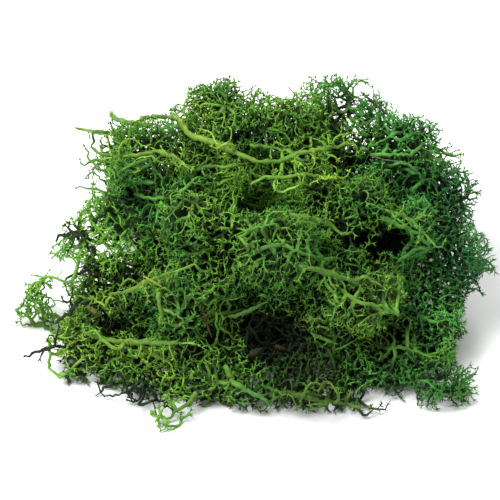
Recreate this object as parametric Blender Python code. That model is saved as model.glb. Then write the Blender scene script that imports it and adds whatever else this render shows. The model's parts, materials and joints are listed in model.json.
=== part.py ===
"""A loose clump of preserved reindeer lichen: tufts, the stems that lie over them, and a little litter.

Every tuft is a closed solid that reaches the tips of its twigs and stops short of its neighbours.
The stems and the litter are draped over the tufts. Sizes in the tables are in millimetres.
A place is given as it is seen in a three-quarter view: the side the view comes from (0 is the front,
180 the back), how far right of the clump's middle, and how far up in that view.
"""

import math

import bmesh
import bpy
from mathutils import Vector
from mathutils.bvhtree import BVHTree

MM = 0.001

# The clump as a whole: the rounded mound that its tufts fill.
MOUND_CENTRE = Vector((5, 0, 16))
MOUND_RADII = Vector((68, 62, 52))
VIEW_PITCH = math.radians(38)
LOWEST_MIDDLE = 0.45

# How full a tuft's outline is: 2 is an ellipsoid, more is squarer.
FULLNESS = 2.7

# Clearances.
TUFT_GAP = 0.4
STEM_LIFT = 0.6
STEM_SAG = 3
LIFT_STEP = 0.25
MOST_LIFTS = 60
STEM_POINT_STEP = 2.6
RELAX_ROUNDS = 10
END_BACKING = 6

# A sight line starts this far from the clump.
FAR_AWAY = 300

# Tuft solids are drawn from a sphere with this many segments and rings.
TUFT_SEGMENTS = 12
TUFT_RINGS = 7

# name: (side in degrees, right, up, half width, half length, half depth, how far it stands proud)
TUFTS = {
    "tuft_top_left": (0, -8, 50, 17, 13, 18, 1),
    "tuft_top_notch": (0, 11, 49, 11, 10, 17, 0),
    "tuft_top_right": (0, 29, 54.5, 13, 9, 14, 1),
    "tuft_upper_left": (0, -34, 39.5, 15, 13, 16, 1),
    "tuft_under_stems": (0, -14, 39, 15, 12, 24, 0),
    "tuft_upper_middle": (0, 19, 40, 16, 12, 24, 1),
    "tuft_upper_right": (0, 46.5, 41, 16, 14, 18, 1),
    "tuft_edge_right_high": (0, 60.5, 31, 8, 11, 11, 1),
    "tuft_edge_right_low": (0, 63.5, 9.5, 9, 13, 13, 1),
    "tuft_middle_left": (0, -19, 22, 19, 12, 26, 1),
    "tuft_lacy_left": (0, -45.5, 18.5, 12, 12, 15, 1),
    "tuft_far_left": (0, -67, -3, 8, 8, 8, 2),
    "tuft_olive_left": (0, -43.5, 1, 13, 12, 19, -2),
    "tuft_front_left_corner": (0, -51, -18.5, 12, 11, 14, 2),
    "tuft_front_left": (0, -32, -22.5, 13, 10, 17, 2),
    "tuft_front_middle": (0, -14, -22, 12, 11, 19, 1),
    "tuft_front_tip": (0, 0, -30, 9, 8, 12, 2),
    "tuft_front_sprig": (0, -24, -36, 7, 6, 7, 2),
    "tuft_front_olive": (0, 18, -28.5, 13, 9, 14, 1),
    "tuft_front_right": (0, 44, -15, 17, 13, 22, 1),
    "tuft_front_right_low": (0, 36, -31, 9, 7, 10, 1),
    "tuft_front_right_corner": (0, 59, -27, 11, 9, 12, 2),
    "tuft_right_low": (0, 56.5, -9, 10, 11, 15, 1),
    "tuft_centre": (0, 7, 12, 16, 14, 26, 2),
    "tuft_centre_right": (0, 30, -1, 17, 12, 25, 1),
    "tuft_hollow_floor": (0, 6, -15, 11, 10, 22, -12),
    "tuft_inner_left": (0, -20, 0, 14, 12, 25, 0),
    "tuft_right": (0, 48, 17, 14, 13, 24, 0),
    "tuft_right_of_centre": (0, 29, 23, 14, 12, 25, -1),
    "tuft_back_top_left": (180, 14, 32, 18, 14, 26, 0),
    "tuft_back_top_right": (180, -22, 34, 18, 14, 26, 0),
    "tuft_back_left": (180, 35, 7, 14, 14, 20, 0),
    "tuft_back_right": (180, -50, 12, 16, 15, 24, 0),
    "tuft_back_middle_left": (180, 13, 7, 15, 14, 28, 0),
    "tuft_back_middle_right": (180, -19, 8, 16, 14, 28, 0),
    "tuft_back_low_left": (180, 35, -14, 14, 12, 20, 0),
    "tuft_back_low_middle": (180, 9, -17, 15, 12, 21, 0),
    "tuft_back_low_right": (180, -19, -17, 15, 12, 21, 0),
    "tuft_back_corner_right": (180, -46, -12, 14, 12, 20, 0),
}

# Tufts in the heart of the clump: name: (middle, half sizes)
INNER_TUFTS = {
    "tuft_under_left": ((-16, 3, 10), (23, 20, 14)),
    "tuft_under_right": ((30, 5, 10), (24, 20, 14)),
}

# name: (thickness in the middle, thickness at the ends, [(right, up) in the front view])
STEMS = {
    "stem_long_top": (
        2.2, 1.3,
        [(-26, 56.5), (-23, 56), (-19, 50.5), (-10, 47.5), (-4, 44.5), (2, 42)],
    ),
    "stem_long_top_end": (1.7, 1.0, [(3, 42), (8.5, 42), (15, 44.5), (22, 46), (28, 47)]),
    "stem_top_left_tip": (
        1.8, 1.2,
        [(-45.5, 59.5), (-43.5, 56.5), (-40, 55.5), (-37, 54.5), (-32, 57), (-27, 56.5)],
    ),
    "stem_upper_left": (1.6, 1.0, [(-56, 53.5), (-53.5, 53), (-50, 52), (-44.5, 51)]),
    "stem_left_fork": (1.5, 1.0, [(-41.5, 43.5), (-34.5, 44.5), (-29.5, 45.5), (-25, 44), (-22, 42.5)]),
    "stem_left_bow": (1.5, 1.0, [(-44.5, 0.5), (-38, 1.5), (-33, 4), (-28.5, 6), (-24.5, 7.5)]),
    "stem_front_left": (
        1.7, 1.0,
        [(-52.5, -11.5), (-48.5, -13), (-42.5, -14), (-35.5, -14.5), (-29.5, -14.5), (-23, -14.5)],
    ),
    "stem_front_left_fork": (1.8, 1.0, [(-33, -17), (-30.5, -18.5), (-28, -19.5), (-26, -20.5)]),
    "stem_hollow_bow": (1.8, 1.1, [(-7, -6.5), (-3.5, -6), (0, -4.5), (3.5, -2.5)]),
    "stem_middle": (1.4, 0.9, [(0, 35), (5, 37.5), (10, 37), (16, 38), (22, 37.5)]),
    "stem_broken": (1.9, 1.7, [(12, 25.5), (17, 24.5), (21.5, 23.5), (25.5, 22)]),
    "stem_centre_low": (1.8, 1.1, [(15, 9.5), (20.5, 8.5), (24, 7), (33, 5)]),
    "stem_right_upper": (1.6, 1.0, [(42, 27), (47, 25.5), (51.5, 22.5), (54.5, 19.5)]),
    "stem_front_olive": (1.5, 0.9, [(4.5, -28.5), (10, -30), (17, -31.5), (23, -33), (30, -33.5)]),
}

# name: (thickness, thickness at the ends, [(right, up) in the front view])
NEEDLES = {
    "needle_brown": (0.9, 0.6, [(-15.5, -3), (-14, -8), (-12, -13)]),
    "twig_brown": (1.0, 0.6, [(34.5, 64.5), (38.2, 61.6), (43.5, 56.8)]),
}

# name: (right, up, length, width, turn in degrees)
SCRAPS = {
    "leaf_scrap_olive": (1.5, -18, 6.0, 3.2, 25),
    "leaf_scrap_brown": (9.5, -16.5, 4.4, 2.4, -20),
}
SCRAP_THICKNESS = 0.6
SCRAP_LIFT = 1.0

# slot: (colour, roughness)
MATERIALS = {
    "lichen_tufts": ((0.10, 0.26, 0.05), 0.65),
    "lichen_stems": ((0.25, 0.42, 0.09), 0.60),
    "litter": ((0.20, 0.12, 0.06), 0.75),
}


def clear_scene():
    for old in list(bpy.data.objects):
        bpy.data.objects.remove(old)


def make_collection(name):
    group = bpy.data.collections.new(name)
    bpy.context.scene.collection.children.link(group)
    return group


def make_material(name):
    colour, roughness = MATERIALS[name]
    material = bpy.data.materials.new(name)
    material.use_nodes = True
    shader = material.node_tree.nodes["Principled BSDF"]
    shader.inputs["Base Color"].default_value = (*colour, 1)
    shader.inputs["Roughness"].default_value = roughness
    shader.inputs["Metallic"].default_value = 0.0
    return material


def view_axes(side):
    """Right, up and towards-the-viewer directions of the three-quarter view from one side."""
    turn = math.radians(side)
    ahead = Vector((-math.sin(turn), math.cos(turn), 0))
    right = Vector((math.cos(turn), math.sin(turn), 0))
    toward = Vector((0, 0, 1)) * math.sin(VIEW_PITCH) - ahead * math.cos(VIEW_PITCH)
    up = Vector((0, 0, 1)) * math.cos(VIEW_PITCH) + ahead * math.sin(VIEW_PITCH)
    return right, up, toward


def scaled(point, radii):
    return Vector((point.x / radii.x, point.y / radii.y, point.z / radii.z))


def sight_through_mound(side, right, up):
    """A sight line, how far along it the mound's near face is, and the middle of the mound on it."""
    right_axis, up_axis, toward = view_axes(side)
    base = right_axis * right + up_axis * up
    start = scaled(base - MOUND_CENTRE, MOUND_RADII)
    step = scaled(toward, MOUND_RADII)
    middle = -start.dot(step) / step.length_squared
    miss = (start + step * middle).length_squared
    reach = math.sqrt(max(0, (1 - miss) / step.length_squared))
    return base, toward, middle + reach, middle


def way_out(point):
    """The outward direction of the mound's face at a point."""
    return scaled(scaled(point - MOUND_CENTRE, MOUND_RADII), MOUND_RADII).normalized()


def tuft_frame(place):
    """Middle of a tuft, its three axes and its three half sizes."""
    side, right, up, half_width, half_length, half_depth, proud = place
    base, toward, face, middle = sight_through_mound(side, right, up)
    outward = way_out(base + toward * face)
    across = outward.cross(Vector((0, 0, 1))).normalized()
    along = outward.cross(across)
    lowest = (half_length * LOWEST_MIDDLE - base.z) / toward.z
    sunk = max(middle, face + proud - half_depth, lowest)
    return base + toward * sunk, (across, along, outward), (half_width, half_length, half_depth)


def reach_in(frame, direction):
    """How far a tuft reaches from its middle along a direction."""
    _, axes, halves = frame
    parts = [abs(direction.dot(axis)) / half for axis, half in zip(axes, halves)]
    return sum(part ** FULLNESS for part in parts) ** (-1 / FULLNESS)


def dividing_planes(frame, others):
    """Planes that keep a tuft clear of each neighbour, set nearer to the smaller one."""
    middle, _, halves = frame
    planes = []
    for other_middle, _, other_halves in others:
        between = other_middle - middle
        share = sum(halves) / (sum(halves) + sum(other_halves))
        planes.append((between.normalized(), between.length * share - TUFT_GAP / 2))
    return planes


def make_tuft(name, frame, others, material, group):
    """A sphere drawn out to the tuft's own outline, to its neighbours and to the ground."""
    middle = frame[0]
    planes = dividing_planes(frame, others)
    planes.append((Vector((0, 0, -1)), middle.z))
    mesh = bmesh.new()
    bmesh.ops.create_uvsphere(mesh, u_segments=TUFT_SEGMENTS, v_segments=TUFT_RINGS, radius=1)
    for vertex in mesh.verts:
        direction = vertex.co.normalized()
        reach = reach_in(frame, direction)
        for normal, distance in planes:
            facing = direction.dot(normal)
            if facing * reach > distance:
                reach = distance / facing
        vertex.co = (middle + direction * reach) * MM
    data = bpy.data.meshes.new(name)
    mesh.to_mesh(data)
    mesh.free()
    data.shade_smooth()
    return add_object(name, data, material, group)


def add_object(name, data, material, group):
    piece = bpy.data.objects.new(name, data)
    piece.data.materials.clear()
    piece.data.materials.append(material)
    group.objects.link(piece)
    return piece


def tree_of(pieces):
    """Search tree over the faces of the given pieces, in millimetres."""
    corners = []
    faces = []
    for piece in pieces:
        first = len(corners)
        corners.extend(vertex.co / MM for vertex in piece.data.vertices)
        faces.extend([first + index for index in face.vertices] for face in piece.data.polygons)
    return BVHTree.FromPolygons(corners, faces)


def first_touch(tree, right, up):
    """Where a sight line from the front first meets the pieces laid so far, and the way out there."""
    base, toward, _, _ = sight_through_mound(0, right, up)
    point, normal, _, _ = tree.ray_cast(base + toward * FAR_AWAY, -toward)
    return point, normal


def laid_point(tree, right, up, clearance):
    """A point of a stem seen at a place: on the pieces laid so far, but not down in the gaps."""
    base, toward, face, _ = sight_through_mound(0, right, up)
    touch, _ = first_touch(tree, right, up)
    reach = face - STEM_SAG
    if touch is not None:
        reach = max(reach, (touch - base).dot(toward))
    return base + toward * (reach + clearance)


def resample(points, step):
    """Points at even steps along a line of straight runs."""
    lengths = [(b - a).length for a, b in zip(points, points[1:])]
    count = max(3, round(sum(lengths) / step))
    result = []
    for index in range(count + 1):
        left = sum(lengths) * index / count
        for a, b, length in zip(points, points[1:], lengths):
            if left <= length + 1e-6:
                result.append(a.lerp(b, min(1, left / length)))
                break
            left -= length
    return result


def pushed_clear(point, tree, clearance):
    """The point moved straight out of the mound until it has the clearance."""
    for _ in range(MOST_LIFTS):
        near, normal, _, distance = tree.find_nearest(point)
        if distance >= clearance and (point - near).dot(normal) > 0:
            break
        point = point + way_out(point) * LIFT_STEP
    point.z = max(point.z, clearance)
    return point


def lift_runs(points, tree, clearance):
    """Moves both ends of each run by as much as its middle needs to clear an edge."""
    for index in range(len(points) - 1):
        middle = points[index].lerp(points[index + 1], 0.5)
        shift = pushed_clear(middle, tree, clearance) - middle
        points[index] += shift
        points[index + 1] += shift


def has_room(point, tree, clearance):
    near, normal, _, distance = tree.find_nearest(point)
    return distance >= clearance and (point - near).dot(normal) > 0 and point.z >= clearance


def let_down(points, weights, tree, clearance):
    """The route moved back along the line of sight, each point by its weight, while it stays clear."""
    _, _, toward = view_axes(0)
    for _ in range(MOST_LIFTS):
        lower = [point - toward * (LIFT_STEP * weight) for point, weight in zip(points, weights)]
        middles = [a.lerp(b, 0.5) for a, b in zip(lower, lower[1:])]
        if not all(has_room(point, tree, clearance) for point in lower + middles):
            break
        points = lower
    return points


def settled(points, tree, clearance):
    """The route let down onto what is behind it: as a whole, then each end that has a piece close behind."""
    _, _, toward = view_axes(0)
    points = let_down(points, [1] * len(points), tree, clearance)
    last = len(points) - 1
    rests_at = min(range(len(points)), key=lambda index: tree.find_nearest(points[index])[3])
    for end, length in ((last, last - rests_at), (0, rests_at)):
        if length and tree.ray_cast(points[end], -toward, END_BACKING)[0] is not None:
            side = 1 if end else -1
            weights = [max(0, (index - rests_at) * side / length) ** 2 for index in range(len(points))]
            points = let_down(points, weights, tree, clearance)
    return points


def draped(route, thickness, tree):
    """A route laid over the pieces like a stiff stem: on their crowns, straight across the gaps."""
    clearance = thickness / 2 + STEM_LIFT
    points = [laid_point(tree, right, up, clearance) for right, up in route]
    points = resample(points, STEM_POINT_STEP)
    for _ in range(RELAX_ROUNDS):
        eased = [a.lerp(c, 0.5).lerp(b, 0.5) for a, b, c in zip(points, points[1:], points[2:])]
        points[1:-1] = eased
        points = [pushed_clear(point, tree, clearance) for point in points]
        lift_runs(points, tree, clearance)
    return settled(points, tree, clearance)


def tube(name, points, thickness, end_thickness, bevel_resolution):
    """A capped round tube that thins towards both ends, as one welded mesh."""
    curve = bpy.data.curves.new(name, "CURVE")
    curve.dimensions = "3D"
    curve.bevel_depth = thickness / 2 * MM
    curve.bevel_resolution = bevel_resolution
    curve.use_fill_caps = True
    spline = curve.splines.new("POLY")
    spline.points.add(len(points) - 1)
    for index, (control, point) in enumerate(zip(spline.points, points)):
        along = index / (len(points) - 1)
        swell = 1 - (2 * along - 1) ** 2
        control.co = (*(point * MM), 1)
        control.radius = (end_thickness + (thickness - end_thickness) * swell) / thickness
    return welded_mesh(name, curve)


def welded_mesh(name, curve):
    source = bpy.data.objects.new(name + "_curve", curve)
    bpy.context.scene.collection.objects.link(source)
    bpy.context.view_layer.update()
    evaluated = source.evaluated_get(bpy.context.evaluated_depsgraph_get())
    data = bpy.data.meshes.new_from_object(evaluated)
    bpy.data.objects.remove(source)
    data.name = name
    mesh = bmesh.new()
    mesh.from_mesh(data)
    bmesh.ops.remove_doubles(mesh, verts=mesh.verts, dist=0.00001)
    mesh.to_mesh(data)
    mesh.free()
    return data


def make_rod(name, size, tree, material, group, bevel_resolution):
    thickness, end_thickness, route = size
    points = draped(route, thickness, tree)
    data = tube(name, points, thickness, end_thickness, bevel_resolution)
    data.shade_smooth()
    return add_object(name, data, material, group)


def make_scrap(name, size, tree, material, group):
    """A flat, pointed scrap of leaf that lies on the tufts."""
    right, up, length, width, turn = size
    touch, normal = first_touch(tree, right, up)
    curve = bpy.data.curves.new(name, "CURVE")
    curve.dimensions = "2D"
    curve.fill_mode = "BOTH"
    curve.extrude = SCRAP_THICKNESS / 2 * MM
    outline = [(-0.5, 0.1), (-0.2, -0.42), (0.22, -0.5), (0.5, -0.06), (0.3, 0.44), (-0.15, 0.5)]
    spline = curve.splines.new("POLY")
    spline.points.add(len(outline) - 1)
    for control, (along, across) in zip(spline.points, outline):
        control.co = (along * length * MM, across * width * MM, 0, 1)
    spline.use_cyclic_u = True
    data = welded_mesh(name, curve)
    facing = normal.to_track_quat("Z", "Y").to_matrix()
    spin = Vector((math.cos(math.radians(turn)), math.sin(math.radians(turn)), 0))
    side = Vector((-spin.y, spin.x, 0))
    for vertex in data.vertices:
        flat = spin * vertex.co.x + side * vertex.co.y + Vector((0, 0, vertex.co.z))
        vertex.co = facing @ flat + (touch + normal * SCRAP_LIFT) * MM
    return add_object(name, data, material, group)


def build_tufts(material, group):
    frames = {name: tuft_frame(place) for name, place in TUFTS.items()}
    world_axes = (Vector((1, 0, 0)), Vector((0, 1, 0)), Vector((0, 0, 1)))
    for name, (middle, halves) in INNER_TUFTS.items():
        frames[name] = (Vector(middle), world_axes, halves)
    pieces = []
    for name, frame in frames.items():
        others = [other for other_name, other in frames.items() if other_name != name]
        pieces.append(make_tuft(name, frame, others, material, group))
    return pieces


def build_clump():
    clear_scene()
    group = make_collection("reindeer_lichen")
    tuft_material = make_material("lichen_tufts")
    stem_material = make_material("lichen_stems")
    litter_material = make_material("litter")
    pieces = build_tufts(tuft_material, group)
    for name, size in STEMS.items():
        pieces.append(make_rod(name, size, tree_of(pieces), stem_material, group, 1))
    for name, size in NEEDLES.items():
        pieces.append(make_rod(name, size, tree_of(pieces), litter_material, group, 0))
    for name, size in SCRAPS.items():
        pieces.append(make_scrap(name, size, tree_of(pieces), litter_material, group))
    stand_on_origin(pieces, group)


def stand_on_origin(pieces, group):
    """Puts the middle of the clump's footprint at the origin, on the ground."""
    corners = [vertex.co for piece in pieces for vertex in piece.data.vertices]
    low = Vector(min(corner[axis] for corner in corners) for axis in range(3))
    high = Vector(max(corner[axis] for corner in corners) for axis in range(3))
    clump = bpy.data.objects.new("clump", None)
    group.objects.link(clump)
    clump.location = (-(low.x + high.x) / 2, -(low.y + high.y) / 2, -low.z)
    for piece in pieces:
        piece.parent = clump


build_clump()
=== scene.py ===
"""The looks of a loose clump of preserved reindeer lichen on a pale floor.

Every tuft is a thicket of forked twigs, grown inside the tuft's solid and a little past it.
Thick stems with side twigs lie over the tufts. Lengths are in millimetres until a mesh is made.
"""

import json
import math
from typing import NamedTuple

import bpy
import numpy as np
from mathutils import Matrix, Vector
from mathutils.bvhtree import BVHTree
from mathutils.kdtree import KDTree

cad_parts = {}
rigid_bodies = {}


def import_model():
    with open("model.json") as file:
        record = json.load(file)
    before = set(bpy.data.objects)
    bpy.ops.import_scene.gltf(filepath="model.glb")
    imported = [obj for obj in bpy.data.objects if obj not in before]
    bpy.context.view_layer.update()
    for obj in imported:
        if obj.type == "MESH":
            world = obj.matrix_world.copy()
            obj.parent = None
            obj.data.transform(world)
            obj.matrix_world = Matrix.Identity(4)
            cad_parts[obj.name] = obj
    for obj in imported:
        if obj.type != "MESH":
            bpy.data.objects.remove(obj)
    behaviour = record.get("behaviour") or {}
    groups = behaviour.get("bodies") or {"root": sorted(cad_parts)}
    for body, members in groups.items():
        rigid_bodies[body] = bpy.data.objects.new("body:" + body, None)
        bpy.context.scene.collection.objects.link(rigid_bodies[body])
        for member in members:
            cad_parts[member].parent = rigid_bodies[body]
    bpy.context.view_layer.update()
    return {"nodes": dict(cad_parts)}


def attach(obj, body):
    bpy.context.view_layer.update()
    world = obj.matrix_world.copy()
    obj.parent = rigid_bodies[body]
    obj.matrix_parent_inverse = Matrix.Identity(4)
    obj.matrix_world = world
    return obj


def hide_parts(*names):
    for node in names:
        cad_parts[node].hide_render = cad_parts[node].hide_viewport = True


MM = 0.001
SEED = 5767

# The front view: camera height angle, and where its middle line meets the ground.
VIEW_PITCH = math.radians(38)
VIEW_BASE = np.array([-0.64, 2.76, 0.0])
RIGHT = np.array([1.0, 0.0, 0.0])
UP = np.array([0.0, math.sin(VIEW_PITCH), math.cos(VIEW_PITCH)])
TOWARD = np.array([0.0, -math.cos(VIEW_PITCH), math.sin(VIEW_PITCH)])
FRAME_WIDTH = 160.0
FRAME_MIDDLE = (-0.16, 14.4)
CAMERA_DISTANCE = 2400.0
SENSOR_WIDTH = 36
FAR_AWAY = 300.0

# The stage, in metres. Each lamp has a place, a size and a power.
FLOOR_HALF = 4.0
WORLD_LIGHT = 0.48
LAMPS = {"key": ((-0.75, -0.3, 1.4), 0.95, 38), "top": ((0.3, 0.5, 1.5), 0.9, 12)}

# Colours of the lichen by tone, of old twigs, of bleached ones and of deep shade, and how much of
# that shade there is at each share of DEEPEST.
GREENS = [
    (0.0, (0.27, 0.43, 0.045)),
    (0.35, (0.135, 0.32, 0.032)),
    (0.65, (0.055, 0.225, 0.034)),
    (1.0, (0.018, 0.12, 0.034)),
]
OLD = (0.10, 0.19, 0.04)
BLEACHED = (0.55, 0.58, 0.36)
SHADE = (0.009, 0.016, 0.006)
SHADE_SHARES = [(0.03, 0), (0.11, 0.45), (0.22, 0.82), (0.42, 0.97)]
DEEPEST = 16

# How finely a tuft is filled: the least distance between twigs at its face and deep inside.
FINE = 1.3
COARSE = 2.4
FINE_DEPTH = 2.5
COARSE_DEPTH = 11.0

# The clump's open face: cracks up to twice CLOSING wide are filled, and twigs reach past the solids
# by OPEN_REACH on average, by up to OPEN_SWELL more or less from place to place, and by up to
# FOOT_DRAW less near the ground.
CLOSING = 7.0
GRID_STEP = 1.0
GRID_EDGE = 16.0
OPEN_REACH = -0.6
OPEN_SWELL = 1.6
FOOT_DRAW = 1.8
CRACK_REACH = 7.0
FAN_REACH = 1.5
OVERLAP = 0.8

# A solid that starts lower than this stands on the ground.
STANDING = 6.0

# Growth. CLOSEST is the share of its spacing that a new twig keeps from the others, SHARPEST the
# cosine of the sharpest turn, KEPT_IN_FRONT the share of points left in front of a branch, and
# FORKING_SHARE the share of a given branch's nodes that twigs can fork from.
INFLUENCE = 6.5
STRAIGHTNESS = 0.55
WANDER = 0.22
CLOSEST = 0.62
SHARPEST = -0.35
KEPT_IN_FRONT = 0.45
MOST_FORKS = 3
FORKING_SHARE = 0.36
MOST_TWIG_NODES = 6000
MOST_ROUNDS = 70
HOLLOW_EDGE = 0.8
LOWEST_TWIG = 0.6

# Thickness. Twigs are thicker, to DEEP_RADIUS, from the first to the second depth of THICKENING.
DEEP_RADIUS = 0.9
THICKENING = (1, 7.5)
THICKEST = 0.62
PIPE_POWER = 2.25
STEM_TIP = 0.27
BLUNT_END = 0.7
PRONG_LENGTH = (0.9, 2.1)
PRONG_SPREAD = (22, 62)
SIDE_PRONG_SPREAD = (40, 78)
DEEPEST_PRONG = 7
TIP_LIGHT = 1.5
KNOBBLES = 0.13
PALE_TONE = -2.0

# The number of sides of a twig thinner than each radius, and the depth past which it is three.
SIDES = ((0.36, 3), (0.6, 4), (0.85, 6), (math.inf, 9))
PLAIN_DEPTH = 4

# Near the ground twigs are as thick as this much deeper ones, and as dark: painted shade there.
FOOT_DEPTH = 4.0
FOOT_HEIGHT = 7.0


class Look(NamedTuple):
    """What sets one tuft apart.

    tone: 0 yellow-green to 1 blue-green. light: brightness of its colour, partly its own and
    partly painted light and shade for how much light falls on that part of the clump. fineness:
    above 1 is sparser. reach: how much further its twigs reach past the solid. slab: how thick it
    is, square to the view; a thin one is a flat fan. tip: radius of the finest twigs. sunk: how
    much darker its colour is made, as if it lay that much deeper: painted shade for a tuft in a
    hollow, and the dark colour of the dead twigs. pale: how many points at the start of its branch
    are bleached.
    """

    tone: float
    light: float = 1.0
    fineness: float = 1.0
    reach: float = 0.0
    slab: float = math.inf
    tip: float = 0.2
    sunk: float = 0.0
    pale: int = 0

    def is_fan(self):
        return self.slab < 6


# Each tuft's light is partly painted light and shade: low for the tuft in the hollow and for the
# shaded front foot.
LOOKS = {
    "tuft_top_left": Look(0.4, 0.92, fineness=0.9, reach=0.8),
    "tuft_top_notch": Look(0.45, fineness=1.05, reach=1.5),
    "tuft_top_right": Look(0.65, fineness=1.1, reach=2.2, slab=12),
    "tuft_upper_left": Look(0.5, 0.85, slab=16),
    "tuft_under_stems": Look(0.3, 0.9),
    "tuft_upper_middle": Look(0.35),
    "tuft_upper_right": Look(0.65, 1.3),
    "tuft_edge_right_high": Look(0.8, 1.05, reach=0.8),
    "tuft_edge_right_low": Look(0.85, 1.05, reach=1.0),
    "tuft_middle_left": Look(0.45, 1.1),
    "tuft_lacy_left": Look(0.45, 1.25, fineness=1.1, slab=14),
    "tuft_far_left": Look(0.38, slab=4, tip=0.3),
    "tuft_olive_left": Look(0.4, 0.9),
    "tuft_front_left_corner": Look(0.33, 1.25),
    "tuft_front_left": Look(0.4, 1.2),
    "tuft_front_middle": Look(0.42, 1.1),
    "tuft_front_tip": Look(0.4),
    "tuft_front_sprig": Look(0.38, slab=4, tip=0.28),
    "tuft_front_olive": Look(0.4, 0.33),
    "tuft_front_right": Look(0.5, 0.9),
    "tuft_front_right_low": Look(0.6, 1.15),
    "tuft_front_right_corner": Look(0.65, 0.9, reach=1.0, slab=12),
    "tuft_right_low": Look(0.7, 1.5, fineness=0.95),
    "tuft_centre": Look(0.5),
    "tuft_centre_right": Look(0.42),
    "tuft_hollow_floor": Look(0.5, 0.6, sunk=9),
    "tuft_inner_left": Look(0.48),
    "tuft_right": Look(0.7, 1.12, fineness=0.93),
    "tuft_right_of_centre": Look(0.5, 0.95),
}
BACK_LOOK = Look(0.5, fineness=1.25)
# Branches at a tuft's face get this share of its light: painted shade, as the twigs round them
# shade them.
BRANCH_LIGHT = 0.72

# Main branches that show at a tuft's face: thickness, end thickness, route in the front view.
BRANCHES = {
    "tuft_upper_left": [
        (1.1, 0.7, [(-45, 51.5), (-50, 52), (-50, 49.5), (-50.5, 47)]),
        (1.3, 0.7, [(-33, 45), (-31, 41.5), (-29.5, 39), (-27.5, 36)]),
        (1.0, 0.6, [(-31.5, 42), (-30, 38.5), (-30, 35.5)]),
        (1.1, 0.5, [(-44, 32), (-48, 33.5), (-51.5, 34), (-55, 34)]),
        (0.9, 0.6, [(-45, 39), (-48.8, 41), (-50.7, 42.6), (-51.4, 45.4), (-52.6, 47.4)]),
        (0.8, 0.5, [(-51, 42.6), (-53.3, 41.6), (-54.6, 43.2)]),
        (0.9, 0.5, [(-45.5, 35), (-47.2, 36.8), (-49.1, 38.7), (-50.7, 39), (-52, 37.4)]),
    ],
    "tuft_middle_left": [
        (1.2, 0.7, [(-36.5, 32), (-29.5, 30.5), (-21.5, 30.5), (-17, 29)]),
        (1.2, 0.7, [(-27, 12), (-21, 16), (-13, 17), (-6, 21)]),
    ],
    "tuft_inner_left": [
        (1.3, 0.7, [(-8, 6.5), (-7, 1), (-7, -5)]),
        (1.2, 0.7, [(-28, -4), (-25.5, -5), (-21.5, -6.5), (-21, -8)]),
    ],
    "tuft_front_left": [(1.6, 0.9, [(-35, -14.5), (-29, -14), (-23, -14)])],
    "tuft_olive_left": [(1.5, 0.8, [(-28.5, 2.5), (-28.5, -2.5), (-28, -5), (-28.5, -9)])],
    "tuft_far_left": [
        (1.7, 0.8, [
            (-59, -12.5), (-63, -11), (-66, -9.5), (-68.5, -9), (-71.5, -6.5), (-74.5, -5),
        ]),
        (0.9, 0.5, [(-68.5, -9), (-71.5, -10), (-74, -8.5)]),
        (1.1, 0.6, [(-65.5, -9), (-66.5, -3), (-66, 3.5)]),
        (0.7, 0.5, [(-66.5, -1.5), (-64.5, -0.5), (-62.5, -2), (-60, -2)]),
    ],
    "tuft_front_left_corner": [(1.1, 0.8, [(-63, -13.5), (-63.5, -19.5), (-63, -23), (-60, -26)])],
    "tuft_lacy_left": [(1.0, 0.6, [(-57, 4), (-60, 5), (-63, 6), (-66, 5.5), (-69, 6.5)])],
    "tuft_upper_middle": [(1.2, 0.7, [(0, 47.5), (6, 46.5), (11, 46)])],
    "tuft_right": [
        (1.6, 0.8, [(41, 25), (48, 21.5), (53, 19.5), (56, 15)]),
        (1.0, 0.6, [(52.5, 24), (56, 28.5), (54.5, 31.5)]),
    ],
    "tuft_upper_right": [
        (1.1, 0.6, [(34, 45), (40.5, 48.5), (45, 50)]),
        (1.3, 0.8, [(38, 44.5), (44.5, 44.5), (50.5, 44)]),
        (1.2, 0.7, [(43, 41), (48, 42), (52.5, 39.5), (54, 36)]),
    ],
    "tuft_centre": [
        (1.3, 0.8, [(3, 14.5), (9.5, 16.5), (15, 13.5), (22, 12), (26.5, 12)]),
        (1.1, 0.7, [(-4, 18), (1, 21.5), (8, 22.5)]),
    ],
    "tuft_front_olive": [(1.2, 0.8, [(11, -30), (18.5, -30.5), (23.5, -31.5)])],
    "tuft_front_middle": [
        (1.9, 1.0, [(-8, -22), (-5.5, -26), (-3.5, -28.5), (1, -30.5), (6.5, -34)]),
        (1.0, 0.7, [(-11, -5), (-10.5, -8.5), (-10.5, -13)]),
    ],
    "tuft_hollow_floor": [(1.0, 0.7, [(-7.5, -7), (-5.5, -9.5), (-1.5, -11), (0.5, -7.5)])],
    "tuft_centre_right": [
        (1.5, 0.9, [(21, -18), (26.5, -19.5), (32.5, -22.5), (35.5, -25.5)]),
        (1.3, 0.8, [(28, 2), (34, -2), (41, -3), (46, -6)]),
    ],
    "tuft_front_sprig": [(1.4, 0.8, [(-17, -30), (-19, -33), (-23, -36), (-26.5, -38.5)])],
    "tuft_front_right": [(1.2, 0.7, [(46, -16), (51.5, -17.5), (57.5, -19)])],
}
WOBBLE = 0.28
START_DIP = (2.4, 0.8)
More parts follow.
